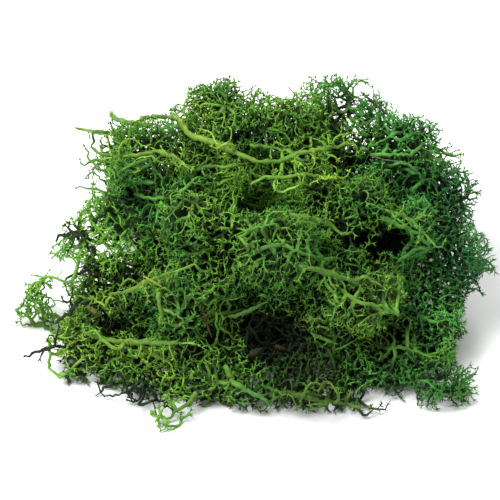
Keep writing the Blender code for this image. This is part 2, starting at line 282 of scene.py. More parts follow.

# The stems that have solids of their own: thickness, end thickness, tone, light, route as above.
# A stem's light is the brightness of its colour, partly its own and partly painted light and shade.
STEMS = {
    "stem_long_top": (2.2, 1.4, 0.12, 0.9, [
        (-26, 56.5), (-23, 56), (-19, 50.5), (-10, 47.5), (-4, 44.5), (2, 42),
    ]),
    "stem_long_top_end": (1.7, 1.1, 0.3, 0.9, [(3, 42), (8.5, 42), (15, 44.5), (22, 46), (28, 47)]),
    "stem_top_left_tip": (1.9, 1.6, 0.3, 0.95, [
        (-45.5, 59.5), (-43.5, 56.5), (-40, 55.3), (-36.5, 54.7), (-32, 57), (-27, 56.5),
    ]),
    "stem_upper_left": (1.6, 1.0, 0.15, 0.85, [(-56, 53.5), (-53.5, 53), (-50, 52), (-44.5, 51)]),
    "stem_left_fork": (1.6, 1.1, 0.15, 0.95, [
        (-41.5, 43.5), (-34.5, 44.5), (-29.5, 45.5), (-25, 44), (-22, 42.5),
    ]),
    "stem_left_bow": (1.6, 1.1, 0.15, 0.7, [
        (-44.5, 0.5), (-38, 1.5), (-33, 4), (-28.5, 6), (-24.5, 7.5),
    ]),
    "stem_front_left": (1.9, 1.2, 0.3, 0.8, [
        (-52.5, -11.5), (-48.5, -13), (-42.5, -14), (-35.5, -14.5), (-29.5, -14.5), (-23, -14.5),
    ]),
    "stem_front_left_fork": (2.1, 1.3, 0.3, 0.7, [
        (-33, -17), (-30.5, -18.5), (-28, -19.5), (-26, -20.5),
    ]),
    "stem_hollow_bow": (1.8, 1.2, 0.4, 0.5, [(-7, -6.5), (-3.5, -6), (0, -4.5), (3.5, -2.5)]),
    "stem_middle": (1.5, 1.0, 0.15, 1.1, [(0, 35), (5, 37.5), (10, 37), (16, 38), (22, 37.5)]),
    "stem_broken": (1.9, 1.7, 0.35, 0.7, [(12, 25.5), (17, 24.5), (21.5, 23.5), (25.5, 22)]),
    "stem_centre_low": (2.0, 1.3, 0.3, 0.68, [(15, 9.5), (20.5, 8.5), (24, 7), (33, 5)]),
    "stem_right_upper": (1.7, 1.1, 0.45, 0.95, [(42, 27), (47, 25.5), (51.5, 22.5), (54.5, 19.5)]),
    "stem_front_olive": (1.6, 1.0, 0.25, 0.45, [
        (4.5, -28.5), (10, -30), (17, -31.5), (23, -33), (30, -33.5),
    ]),
}
LINE_STEP = 1.1
STEEPEST = 1.0
STEM_WIDTH = 0.88
PALE_POINTS = {"stem_top_left_tip": 2}

# The side twigs of stems: points to grow towards, for each millimetre of stem and past each end.
SIDE_BUDS = 3.2
SIDE_REACH = 6.5
SIDE_SPACING = 1.9
BACKED_REACH = 14.0
END_BUDS = 20
END_REACH = 7.0

# Dead twigs that stick out of the edge: thickness, route.
DARK_TWIGS = {
    "twig_dark_left_low": (1.3, [(-60, -16), (-64.5, -16.5), (-67.5, -18), (-71, -19)]),
    "twig_dark_left_fork": (1.1, [(-63, -15.5), (-65.5, -18), (-66.5, -20)]),
    "twig_dark_left": (1.6, [(-53.5, -1), (-56.5, -5), (-60.5, -7.5)]),
    "twig_dark_left_tip": (1.1, [(-55.5, -4), (-57, -2), (-58.8, -1.6)]),
    "twig_dark_left_high": (1.5, [(-52, 19), (-56, 19.6), (-60, 19.2), (-61, 17.5)]),
    "twig_dark_left_mid": (1.2, [(-50, 9), (-54, 7.5), (-58, 5.5)]),
    "twig_dark_low_a": (1.1, [(-43, -27), (-46, -29), (-48, -31)]),
    "twig_dark_low_b": (0.8, [(-38, -30), (-42, -31.4), (-45.8, -31.6)]),
    "twig_dark_low_c": (1.2, [(-39.5, -28), (-38.2, -30), (-37.3, -32)]),
    "twig_dark_low_d": (1.2, [(-33.5, -28.5), (-34.2, -30.5), (-34.8, -32.3)]),
    "twig_dark_low_e": (1.1, [(-31, -29.5), (-29.5, -32), (-27.5, -33)]),
}
DARK_LOOK = Look(0.6, sunk=7.5, tip=STEM_TIP)

# Bunches of twigs that stand out of the clump: middle in the front view, radius, lift if any.
BUNCHES = [
    (-53.5, 13.5, 3), (-57, 14, 3.2), (-60, 14.5, 3.4), (-46.5, 19.5, 4), (72, 15.7, 3.8),
    (72.8, 12.5, 3), (70, 18.5, 3), (-70.5, -3, 3.2), (-66.5, -2.5, 3.2), (-68.5, 1.5, 2.8),
    (-65.5, 4, 2.4), (-72, -6, 2.5), (-64, -7, 3), (-29.3, -36.5, 2.6), (-27.5, -40, 2.4),
    (-24.5, -40.5, 2), (58.5, -30, 4), (66, -28.5, 4), (68.5, -24, 3), (68.5, -31, 2.5),
    (0.9, 63, 3.5), (20, 66.5, 3.4), (24, 64, 4), (28, 67, 3), (35, 54, 4), (42, 57.5, 4),
    (46, 55.5, 3.5), (67, 38, 3), (-25, 53, 5), (-22, 58, 3.5), (-5, 39, 4.5, 4), (-6, 33, 4, 4),
    (0, 36.5, 4, 4), (2, 41, 4, 3), (4, 36.5, 3.5, 3), (9.5, 36.5, 3.5, 2), (13, 33.5, 3, 1),
    (3, 31, 5, -13), (8, 31, 5, -13), (13, 32, 5, -13), (3, 27.5, 3), (8.5, 27.3, 3),
    (-40.5, 52, 3), (-36, 52.5, 3), (-31, 54, 3), (-26, 50, 4), (-41, 40, 4.5, 3),
    (-37, 37.5, 3.5, 2), (-42, 35, 4, 3), (-40, 44.5, 4, 1), (36, 60.3, 3), (40.5, 60, 2.6),
    (-52.5, 24.5, 3), (-49.5, 27.5, 2.6), (-41.5, 15, 4, 1), (-37, 13.5, 4, 1), (-44.5, 11, 4, 1),
    (-56, 3, 2.6), (-40.5, 9.3, 3, 1), (-62, -14, 2.4),
]
BUNCH_SPACING = 1.2

# Hollows in the face: middle in the front view, half width, half height, depth.
HOLLOWS = [
    (5.6, -12.8, 7.5, 6.5, 9), (39, 16.5, 11, 6.5, 8), (27, 21.5, 5.5, 2.8, 9),
    (33, 18.5, 6, 3.6, 9), (8, 31.5, 5, 2.2, 6), (-32, -3.2, 5.5, 4.5, 7), (-42.5, -8.6, 5, 2.2, 4),
    (-25, 39.5, 8.5, 4.5, 8), (0, 50.5, 9, 3, 4), (-11, -12, 3.5, 3, 4),
    (-47.5, 35.5, 3.8, 5.5, 40), (-46, 48, 3, 5, 40), (67.5, -17.5, 3.2, 5, 40),
    (70, -6, 2.8, 10, 40), (74.5, 4.5, 3, 3.5, 40), (35.5, 65, 4.5, 2, 40),
    (10.4, 65.2, 4.5, 3, 40), (-58, 8.5, 2.6, 3, 40), (-62.5, 10, 4, 2.2, 40),
    (-61, 1.5, 3.8, 2.6, 40), (-60.6, -4.2, 3, 1.6, 40), (39.5, -31.5, 5, 3, 30),
    (-61.5, -22, 3.2, 3.5, 30), (-35.5, -33, 4, 2, 30), (-2.5, -37, 4, 1.8, 30),
    (13, -36.5, 5, 1.8, 30), (50, -31.5, 3.2, 2.2, 30), (61, -34, 2.5, 1.8, 30),
]

# Forest litter on the clump: thickness, colour, route.
NEEDLES = {
    "needle_brown": (0.6, (0.035, 0.018, 0.008), [(-15.5, -3), (-14, -8), (-12, -13)]),
    "twig_brown": (0.9, (0.08, 0.045, 0.03), [(34.5, 64.5), (38.2, 61.6), (43.5, 56.8)]),
    "needle_grey": (0.45, (0.07, 0.06, 0.055), [(-5, 2), (-4.5, -2.5)]),
    "needle_left": (0.35, (0.12, 0.07, 0.04), [(-29.5, 21), (-27.5, 17.5)]),
    "needle_short": (0.6, (0.07, 0.025, 0.015), [(15, -9.5), (16, -12)]),
    "needle_top": (0.35, (0.1, 0.075, 0.055), [(11.5, 66), (14.5, 63)]),
    "thread_right": (0.3, (0.11, 0.13, 0.1), [(37, 44.5), (42, 42.8), (48.8, 42)]),
    "fleck_red": (1.2, (0.26, 0.02, 0.035), [(47.1, -24.2), (47.9, -24.9)]),
}
LITTER_STEP = 0.5

# Flat scraps: length, width, turn in degrees, colour, middle in the front view.
SCRAPS = {
    # The two leaf scraps lie in a hollow: their colours are their own hues, painted dark with the
    # hollow's shade.
    "leaf_scrap_olive": (6.0, 3.2, 25, (0.02, 0.02, 0.005), (1.5, -18)),
    "leaf_scrap_brown": (4.4, 2.4, -20, (0.022, 0.014, 0.006), (9.5, -16.5)),
    "flake_olive": (5.2, 2.2, -40, (0.09, 0.1, 0.02), (-49.5, -4.8)),
    "flake_yellow": (1.8, 0.8, 10, (0.45, 0.36, 0.12), (45.5, 33)),
}
SCRAP_EDGE = 22
LITTER_LIFT = 0.7
SETTLE_REACH = 5.0
SETTLE_STEP = 0.1
TOUCH = 0.35


def place(right, up, depth=0.0):
    """The point seen at a place in the front view, so far towards the viewer."""
    return VIEW_BASE + RIGHT * right + UP * up + TOWARD * depth


def placed(flat, depths):
    """The points seen at several places, each at a depth of its own."""
    return np.array([place(*spot, depth) for spot, depth in zip(flat, depths)])


def random_for(name):
    return np.random.default_rng([SEED, *name.encode()])


def corners_of(mesh):
    """The corners of a mesh, in millimetres."""
    flat = np.empty(len(mesh.vertices) * 3)
    mesh.vertices.foreach_get("co", flat)
    return flat.reshape(-1, 3) / MM


def unit(vectors):
    length = np.linalg.norm(vectors, axis=-1, keepdims=True)
    return vectors / np.maximum(length, 1e-9)


def smoothstep(value, low, high):
    share = np.clip((value - low) / (high - low), 0, 1)
    return share * share * (3 - 2 * share)


def swell(points):
    """A smooth field from about -1 to 1 that swells and sinks every centimetre or so."""
    rng = np.random.default_rng(SEED)
    ways = unit(rng.normal(size=(16, 3)))
    waves = rng.uniform(8, 17, 16)
    phases = rng.uniform(0, 2 * math.pi, 16)
    total = np.zeros(len(points))
    for way, wave, phase in zip(ways, waves, phases):
        total += np.cos(points @ way * (2 * math.pi / wave) + phase)
    return np.clip(total / 4, -1, 1)


# ---- the solids


class Solid:
    """A tuft's solid: the middle and way out of each of its faces."""

    def __init__(self, mesh):
        mesh.calc_loop_triangles()
        self.corners = corners_of(mesh)
        self.faces = np.array([triangle.vertices[:] for triangle in mesh.loop_triangles])
        a, b, c = (self.corners[self.faces[:, side]] for side in range(3))
        across = np.cross(b - a, c - a)
        kept = np.linalg.norm(across, axis=1) > 0.02
        self.normal = unit(across[kept])
        self.middle = ((a + b + c) / 3)[kept]
        self.low = self.corners.min(axis=0)
        self.high = self.corners.max(axis=0)
        if self.low[2] < STANDING:
            walls = self.normal[:, 2] > -0.35
            self.normal = self.normal[walls]
            self.middle = self.middle[walls]
            self.low[2] = 0
        self.offset = (self.middle * self.normal).sum(axis=1)

    def height(self, points):
        """How far each point is outside the solid. A standing one is taken straight down."""
        return (points @ self.normal.T - self.offset).max(axis=1)


class Air:
    """How deep each place lies under the clump's open face, on a grid of small cells."""

    def __init__(self, solids):
        self.low = np.min([solid.low for solid in solids], axis=0) - GRID_EDGE
        self.low[2] = -CLOSING - 2
        high = np.max([solid.high for solid in solids], axis=0) + GRID_EDGE
        self.shape = np.ceil((high - self.low) / GRID_STEP).astype(int) + 1
        self.lead = np.full(self.shape, 99, np.float32)
        for solid in solids:
            self.mark(solid)
        outer = distance_to(self.lead <= 0, CLOSING + 1)
        self.under = distance_to(outer >= CLOSING, CLOSING + 16) - CLOSING

    def mark(self, solid):
        """Notes in each cell how far outside the solid it is, if no other solid is nearer."""
        first = np.floor((solid.low - CRACK_REACH - self.low) / GRID_STEP).astype(int)
        last = np.ceil((solid.high + CRACK_REACH - self.low) / GRID_STEP).astype(int) + 1
        window = tuple(slice(start, end) for start, end in zip(first, last))
        cells = np.stack(np.mgrid[window], axis=-1)
        height = solid.height(self.low + cells.reshape(-1, 3) * GRID_STEP)
        self.lead[window] = np.minimum(self.lead[window], height.reshape(cells.shape[:3]))

    def look_up(self, grid, points):
        spot = np.clip((points - self.low) / GRID_STEP, 0, self.shape - 1.001)
        cell = spot.astype(int)
        part = spot - cell
        total = np.zeros(len(points))
        for corner in np.ndindex(2, 2, 2):
            weight = np.prod(np.where(corner, part, 1 - part), axis=1)
            total += weight * grid[tuple((cell + corner).T)]
        return total

    def depth(self, points):
        return self.look_up(self.under, points)

    def nearest(self, points):
        """How far each point is outside the solid nearest to it."""
        return self.look_up(self.lead, points)


def distance_to(filled, reach):
    """The distance of each cell to the nearest filled one, as far as it matters."""
    square = np.where(filled, 0, (reach + GRID_STEP) ** 2).astype(np.float32)
    for axis in range(3):
        best = square.copy()
        for step in range(1, int(reach / GRID_STEP) + 1):
            ahead = tuple(slice(step, None) if side == axis else slice(None) for side in range(3))
            behind = tuple(slice(None, -step) if side == axis else slice(None) for side in range(3))
            further = (step * GRID_STEP) ** 2
            np.minimum(best[ahead], square[behind] + further, out=best[ahead])
            np.minimum(best[behind], square[ahead] + further, out=best[behind])
        square = best
    return np.sqrt(square)


def load_solids(nodes):
    tufts = [name for name in sorted(nodes) if name.startswith("tuft_")]
    solids = {name: Solid(nodes[name].data) for name in tufts}
    corners, faces = [], []
    for solid in solids.values():
        faces.extend((solid.faces + len(corners)).tolist())
        corners.extend(solid.corners.tolist())
    return solids, BVHTree.FromPolygons(corners, faces)


# ---- lines over the tufts


def even_steps(points, step):
    """Points at even steps along a line of straight runs."""
    points = np.array(points, float)
    lengths = np.linalg.norm(np.diff(points, axis=0), axis=1)
    along = np.r_[0, np.cumsum(lengths)]
    wanted = np.linspace(0, along[-1], max(3, round(along[-1] / step) + 1))
    return np.stack([np.interp(wanted, along, column) for column in points.T], axis=1)


def depth_on(tree, right, up):
    """How far towards the viewer the solids reach at a place, or beside it where they miss it."""
    for reach in (0, 1.5, 3, 5, 7, 9, 12, 15):
        depths = []
        for turn in np.arange(12 if reach else 1) * math.pi / 6:
            spot = (right + reach * math.cos(turn), up + reach * math.sin(turn))
            hit = tree.ray_cast(Vector(place(*spot, FAR_AWAY)), Vector(-TOWARD))[0]
            if hit is not None:
                depths.append((np.array(hit) - place(*spot)) @ TOWARD)
        if depths:
            break
    return float(np.mean(depths))


def off_the_ground(points, clearance):
    """Moves points that are under the ground towards the viewer until they lie on it."""
    low = np.maximum(clearance - points[:, 2], 0)
    return points + TOWARD * (low / TOWARD[2])[:, None]


def smoothed(values, rounds):
    for _ in range(rounds):
        values = np.r_[values[0], (values[:-2] + 2 * values[1:-1] + values[2:]) / 4, values[-1]]
    return values


def radii_along(count, thickness, end_thickness, rng):
    """Radius along a branch: it thins towards its end and is slightly knobbly."""
    share = np.linspace(0, 1, count)
    radii = (thickness + (end_thickness - thickness) * share**1.5) / 2
    return radii * (1 + rng.normal(0, 0.05, count))


def branch_line(route, thickness, end_thickness, tree, flat_at, rng):
    """A branch of a tuft: it comes up from inside and runs along the tuft's face."""
    flat = even_steps(route, LINE_STEP)
    flat[1:-1] += rng.normal(0, WOBBLE, flat[1:-1].shape)
    radii = radii_along(len(flat), thickness, end_thickness, rng)
    if flat_at is None:
        surface = np.array([depth_on(tree, *spot) for spot in flat])
        for index in range(1, len(surface)):
            before = surface[index - 1]
            surface[index] = np.clip(surface[index], before - STEEPEST, before + STEEPEST)
        depths = np.maximum(smoothed(surface, 4), surface - 0.8) + 0.3
        depths[:2] -= START_DIP
    else:
        depths = np.array([(flat_at - place(*spot)) @ TOWARD for spot in flat])
    return off_the_ground(placed(flat, depths), 0.8), radii


def depths_of(part, flat):
    """How far towards the viewer the middle of a CAD part lies at each place."""
    corners = corners_of(part.data) - VIEW_BASE
    square = (flat[:, None, 0] - corners @ RIGHT) ** 2 + (flat[:, None, 1] - corners @ UP) ** 2
    weight = np.exp(-(square - square.min(axis=1, keepdims=True)) / 3)
    return (weight * (corners @ TOWARD)).sum(axis=1) / weight.sum(axis=1)


def stem_line(part, route, thickness, end_thickness, rng):
    """The middle line of a stem that has a solid of its own, thickest in the middle."""
    flat = even_steps(route, LINE_STEP)
    depths = smoothed(depths_of(part, flat), 1)
    swelling = 1 - (2 * np.linspace(0, 1, len(flat)) - 1) ** 2
    radii = (end_thickness + (thickness - end_thickness) * swelling) / 2 * STEM_WIDTH
    radii = radii * (1 + rng.normal(0, 0.12, len(flat)))
    radii[[0, -1]] *= BLUNT_END
    flat[1:-1] += rng.normal(0, 0.18, flat[1:-1].shape)
    return placed(flat, depths), radii


# ---- growth


def spacing_at(depth, fineness):
    """The distance kept between twigs at a depth."""
    return FINE * fineness + (COARSE - FINE) * smoothstep(depth, FINE_DEPTH, COARSE_DEPTH)


def buds_in(solid, look, air, hollows, bunches, lines, rng):
    """Points that the twigs grow towards, dense under the open face and sparse inside."""
    least = FINE * look.fineness
    reach = FAN_REACH if look.is_fan() else CRACK_REACH
    low = solid.low - reach
    high = solid.high + reach
    low[2] = max(low[2], 0.5)
    points = rng.uniform(low, high, (int(np.prod(high - low) / least**3), 3))
    points = points[slab_depth(points, solid, look) > 0]
    height = solid.height(points)
    points = points[height < reach]
    height = height[height < reach]
    depth = air.depth(points)
    kept = depth > -open_reach(points) - look.reach
    kept &= height < air.nearest(points) + OVERLAP
    past = past_hollows(points, hollows)
    spacing = spacing_at(np.minimum(depth, past), look.fineness)
    kept &= rng.uniform(size=len(points)) < (least / spacing) ** 3
    kept &= past > 0
    kept &= ~in_front_of(points, lines) | (rng.uniform(size=len(points)) < KEPT_IN_FRONT)
    points, depth, spacing = points[kept], depth[kept], spacing[kept]
    for middle, radius in bunches:
        extra = rng.uniform(-radius, radius, (int((2 * radius / BUNCH_SPACING) ** 3), 3))
        extra = middle + extra[np.linalg.norm(extra, axis=1) < radius]
        extra = extra[extra[:, 2] > 0.5]
        points = np.r_[points, extra]
        depth = np.r_[depth, np.zeros(len(extra))]
        spacing = np.r_[spacing, np.full(len(extra), BUNCH_SPACING)]
    return points, depth, spacing


def slab_depth(points, solid, look):
    """How deep each point lies in a tuft that is a slab square to the view."""
    middle = (solid.low + solid.high) / 2
    return look.slab / 2 - np.abs((points - middle) @ TOWARD)


def open_reach(points):
    """How far past the solids the clump's open face lies. It draws in towards the ground."""
    drawn_in = FOOT_DRAW * (1 - smoothstep(points[:, 2], 2, 10))
    return OPEN_REACH + OPEN_SWELL * swell(points) - drawn_in


def past_hollows(points, hollows):
    """How far each point is outside the nearest hollow. Inside one it is below 0."""
    nearest = np.full(len(points), 99.0)
    for middle, half_width, half_height, depth in hollows:
        offset = points - middle
        across = (offset @ RIGHT / half_width) ** 2 + (offset @ UP / half_height) ** 2
        share = np.sqrt(across + (offset @ TOWARD / depth) ** 2)
        nearest = np.minimum(nearest, (share - 1) * min(half_width, half_height))
    return nearest


def in_front_of(points, lines):
    """Which points would hide a stem or branch that lies on top of the tufts."""
    hidden = np.zeros(len(points), bool)
    for line, radii in lines:
        for first in range(0, len(line), 4):
            offset = points[:, None, :] - line[None, first : first + 4, :]
            ahead = offset @ TOWARD
            aside = np.linalg.norm(offset - ahead[..., None] * TOWARD, axis=2)
            near = (aside < radii[None, first : first + 4] + 0.9) & (ahead > -radii.max() - 0.8)
            hidden |= near.any(axis=1)
    return hidden


def roots_of(points, depth, count, rng):
    """A few well spread points deep in the tuft, where its plants begin."""
    order = np.argsort(-depth)
    deep = points[order[: max(count, len(points) // 12)]]
    chosen = [deep[0]]
    while len(chosen) < count:
        gaps = np.min([np.linalg.norm(deep - other, axis=1) for other in chosen], axis=0)
        chosen.append(deep[int(np.argmax(gaps + rng.uniform(0, 1, len(deep))))])
    return np.array(chosen)


class Thicket:
    """Twigs as a tree of nodes: where each is, and which node it grew from."""

    def __init__(self):
        self.at = np.zeros((0, 3))
        self.parent = np.zeros(0, int)
        self.heading = np.zeros((0, 3))
        self.forks = np.zeros(0, int)
        self.given = np.zeros(0)

    def add_roots(self, points):
        self.extend(points, np.full(len(points), -1), np.zeros_like(points), np.zeros(len(points)))

    def add_line(self, points, radii, rng):
        """A branch whose course and thickness are given."""
        first = len(self.at)
        parents = np.arange(first - 1, first - 1 + len(points))
        parents[0] = -1
        self.extend(points, parents, np.zeros_like(points), radii)
        forking = rng.uniform(size=len(points) - 1) < FORKING_SHARE
        self.forks[first:-1] = MOST_FORKS - forking

    def extend(self, points, parents, headings, given):
        self.at = np.r_[self.at, points]
        self.parent = np.r_[self.parent, parents]
        self.heading = np.r_[self.heading, headings]
        self.forks = np.r_[self.forks, np.zeros(len(points), int)]
        self.given = np.r_[self.given, given]


def grow(thicket, buds, spacing, hollows, rng):
    """Lets the thicket grow towards the buds, round the hollows, until it is near them all."""
    nearest = np.zeros(len(buds), int)
    gap = np.full(len(buds), np.inf)
    awake = np.ones(len(buds), bool)
    seen = 0
    for _ in range(MOST_ROUNDS):
        look_at_new_nodes(thicket, seen, buds, nearest, gap, awake)
        seen = len(thicket.at)
        awake &= gap > spacing
        pulled = np.nonzero(awake & (gap < INFLUENCE * spacing))[0]
        if len(pulled) == 0 or seen > MOST_TWIG_NODES:
            break
        if not add_nodes(thicket, buds, spacing, nearest, gap, pulled, hollows, rng):
            break


def look_at_new_nodes(thicket, seen, buds, nearest, gap, awake):
    new = thicket.at[seen:]
    left = np.nonzero(awake)[0]
    if len(new) == 0 or len(left) == 0:
        return
    for start in range(0, len(left), 4000):
        part = left[start : start + 4000]
        square = ((buds[part, None, :] - new[None, :, :]) ** 2).sum(axis=2)
        best = square.argmin(axis=1)
        far = np.sqrt(square[np.arange(len(part)), best])
        closer = far < gap[part]
        gap[part[closer]] = far[closer]
        nearest[part[closer]] = best[closer] + seen


def add_nodes(thicket, buds, spacing, nearest, gap, pulled, hollows, rng):
    owners = nearest[pulled]
    pull = (buds[pulled] - thicket.at[owners]) / gap[pulled, None]
    growing, slot = np.unique(owners, return_inverse=True)
    total = np.zeros((len(growing), 3))
    np.add.at(total, slot, pull)
    sizes = np.bincount(slot, weights=spacing[pulled]) / np.bincount(slot)
    way = unit(total) + thicket.heading[growing] * STRAIGHTNESS
    way = unit(way + rng.normal(0, WANDER, way.shape))
    places = thicket.at[growing] + way * sizes[:, None]
    places[:, 2] = np.maximum(places[:, 2], LOWEST_TWIG)
    square = ((places[:, None, :] - thicket.at[None, :, :]) ** 2).sum(axis=2).min(axis=1)
    good = square > (CLOSEST * sizes) ** 2
    good &= thicket.forks[growing] < MOST_FORKS
    good &= (way * thicket.heading[growing]).sum(axis=1) > SHARPEST
    good &= past_hollows(places, hollows) > -HOLLOW_EDGE
    if not good.any():
        return False
    growing = growing[good]
    thicket.forks[growing] += 1
    thicket.extend(places[good], growing, way[good], np.zeros(len(growing)))
    return True


def thickness_of(thicket, depth, tip):
    """Radius of each node, thicker the more twigs it bears and the deeper it lies."""
    least = tip + (DEEP_RADIUS - tip) * smoothstep(depth, *THICKENING)
    load = np.zeros(len(thicket.at))
    for index in range(len(load) - 1, -1, -1):
        load[index] = max(load[index], least[index] ** PIPE_POWER)
        parent = thicket.parent[index]
        if parent >= 0:
            load[parent] += load[index]
    radius = np.minimum(load ** (1 / PIPE_POWER), np.maximum(THICKEST, least))
    return np.where(thicket.given > 0, thicket.given, radius)


def chains_of(thicket, radius):
    """Each twig from where it leaves its parent to its tip, as a list of node numbers."""
    heir = np.full(len(thicket.at), -1)
    for index in range(len(thicket.at)):
        parent = thicket.parent[index]
        if parent >= 0:
            rival = heir[parent]
            rank = (thicket.given[index], radius[index])
            if rival < 0 or rank > (thicket.given[rival], radius[rival]):
                heir[parent] = index
    chains = []
    for index in range(len(thicket.at)):
        parent = thicket.parent[index]
        if parent >= 0 and heir[parent] == index:
            continue
        chain = [] if parent < 0 else [parent]
        walk = index
        while walk >= 0:
            chain.append(walk)
            walk = heir[walk]
        if len(chain) > 1:
            chains.append(chain)
    return chains


# ---- meshes


def ring_round(across, other, sides):
    """The way out to each corner of a ring, for rings that lie along two ways each."""
    turn = np.arange(sides) * 2 * math.pi / sides
    cos, sin = np.cos(turn)[None, :, None], np.sin(turn)[None, :, None]
    return across[:, None, :] * cos + other[:, None, :] * sin


def rods(parts, sides, rng):
    """Round rods, each given as points, radii and facts: their corners, facts, walls and caps."""
    at, radius, facts = (np.concatenate(values) for values in zip(*parts))
    lengths = np.array([len(points) for points, _, _ in parts])
    ends = np.cumsum(lengths)
    starts = ends - lengths
    rod = np.repeat(np.arange(len(lengths)), lengths)
    index = np.arange(len(at))
    last = (ends - 1)[rod]
    tangent = unit(at[np.minimum(index + 1, last)] - at[np.maximum(index - 1, starts[rod])])
    whole = unit(at[ends - 1] - at[starts])
    side = rng.normal(size=whole.shape)
    side -= (side * whole).sum(axis=1, keepdims=True) * whole
    side = unit(side)[rod]
    across = unit(side - (side * tangent).sum(axis=1, keepdims=True) * tangent)
    ring = ring_round(across, np.cross(tangent, across), sides)
    rough = rng.normal(1, KNOBBLES if sides > 4 else 0, (len(at), sides))
    corners = at[:, None, :] + ring * (radius[:, None] * rough)[..., None]
    corner = np.arange(sides)
    lower = index[index != last][:, None] * sides
    a = lower + corner
    b = lower + (corner + 1) % sides
    walls = np.stack([a, b, b + sides, a + sides], axis=2).reshape(-1, 4)
    bottoms = starts[:, None] * sides + corner[::-1]
    tops = (ends - 1)[:, None] * sides + corner
    caps = np.concatenate([bottoms, tops])
    return corners.reshape(-1, 3), np.repeat(facts, sides, axis=0), walls, caps


class Draft:
    """Corners, faces and facts collected for one mesh."""

    def __init__(self):
        self.corners = []
        self.facts = []
        self.loops = []
        self.sizes = []
        self.count = 0

    def add(self, corners, facts, *faces):
        for group in faces:
            self.loops.append((group + self.count).ravel())
            self.sizes.append(np.full(len(group), group.shape[1]))
        self.corners.append(corners)
        self.facts.append(facts)
        self.count += len(corners)

    def mesh(self, name):
        """The mesh, with its facts as attributes and a place for each face in its bake map."""
        corners = np.concatenate(self.corners)
        corners[:, 2] = np.maximum(corners[:, 2], 0.02)
        facts = np.concatenate(self.facts)
        loops = np.concatenate(self.loops)
        sizes = np.concatenate(self.sizes)
        mesh = bpy.data.meshes.new(name)
        mesh.vertices.add(len(corners))
        mesh.vertices.foreach_set("co", (corners * MM).astype(np.float32).ravel())
        mesh.loops.add(len(loops))
        mesh.loops.foreach_set("vertex_index", loops.astype(np.int32))
        mesh.polygons.add(len(sizes))
        mesh.polygons.foreach_set("loop_start", (np.cumsum(sizes) - sizes).astype(np.int32))
        mesh.update(calc_edges=True)
        for column, title in enumerate(("age", "depth", "tone", "light")):
            layer = mesh.attributes.new(title, "FLOAT", "POINT")
            layer.data.foreach_set("value", facts[:, column].astype(np.float32))
        layer = mesh.uv_layers.new(name="OFBake")
        layer.uv.foreach_set("vector", bake_places(sizes).astype(np.float32).ravel())
        mesh.shade_smooth()
        return mesh


def bake_places(sizes):
    """A small square of the map for each face, in the order of the faces."""
    across = math.ceil(math.sqrt(len(sizes)))
    cell = np.arange(len(sizes))
    origin = np.stack([cell % across, cell // across], axis=1)
    starts = np.cumsum(sizes) - sizes
    face = np.repeat(cell, sizes)
    step = np.arange(len(face)) - starts[face]
    turn = (step + 0.5) * 2 * math.pi / sizes[face]
    inside = np.stack([np.cos(turn), np.sin(turn)], axis=1)
    reach = np.where(sizes[face] == 4, 0.5, 0.42)[:, None]
    return (origin[face] + 0.5 + inside * reach) / across


def prongs_of(thicket, radius, facts, depth, foot, rng):
    """Pointed prongs that fork from each tip, and some along the thin twigs.

    Each has three corners round its foot and one at its tip. Gives corners, facts and faces.
    """
    grown = thicket.parent >= 0
    bare = np.ones(len(thicket.at), bool)
    bare[thicket.parent[grown]] = False
    tips = np.nonzero(bare & grown & (depth < DEEPEST_PRONG))[0]
    thin = ~bare & grown & (thicket.forks < 2) & (radius < 0.45) & (depth < PLAIN_DEPTH)
    thin = np.nonzero(thin)[0]
    thin = np.repeat(thin, rng.choice([0, 1, 2], size=len(thin), p=[0.2, 0.4, 0.4]))
    number = rng.choice([3, 4, 5, 6], size=len(tips), p=[0.3, 0.35, 0.25, 0.1])
    number[depth[tips] > PLAIN_DEPTH] = 2
    star = np.repeat(np.arange(len(tips)), number)
    rank = np.arange(len(star)) - (np.cumsum(number) - number)[star]
    base = np.r_[tips[star], thin]
    turn = rng.uniform(0, 2 * math.pi, len(base))
    first = rng.uniform(0, 2 * math.pi, len(tips))
    turn[: len(star)] = first[star] + rank * 2 * math.pi / number[star]
    turn += rng.normal(0, 0.3, len(base))
    lean = np.radians(rng.uniform(*PRONG_SPREAD, len(base)))
    lean[len(star) :] = np.radians(rng.uniform(*SIDE_PRONG_SPREAD, len(thin)))
    heading = unit(thicket.at[base] - thicket.at[thicket.parent[base]])
    side = unit(np.cross(heading, rng.normal(size=heading.shape)))
    around = side * np.cos(turn)[:, None] + np.cross(heading, side) * np.sin(turn)[:, None]
    way = heading * np.cos(lean)[:, None] + around * np.sin(lean)[:, None]
    starts = thicket.at[base]
    ends = starts + way * rng.uniform(*PRONG_LENGTH, len(base))[:, None]
    ends[:, 2] = np.maximum(ends[:, 2], 0.3)
    way = unit(ends - starts)
    side = unit(np.cross(way, rng.normal(size=way.shape)))
    ring = starts[:, None, :] + ring_round(side, np.cross(way, side), 3) * foot
    corners = np.concatenate([ring, ends[:, None, :]], axis=1).reshape(-1, 3)
    values = np.repeat(facts[base], 4, axis=0)
    values[:, 0] = 0
    values[3::4, 3] *= TIP_LIGHT
    foot_corner = np.arange(len(base))[:, None, None] * 4
    faces = foot_corner + np.array([[0, 1, 3], [1, 2, 3], [2, 0, 3], [2, 1, 0]])
    return corners, values, faces.reshape(-1, 3)


def sides_for(radius):
    return next(sides for limit, sides in SIDES if radius < limit)


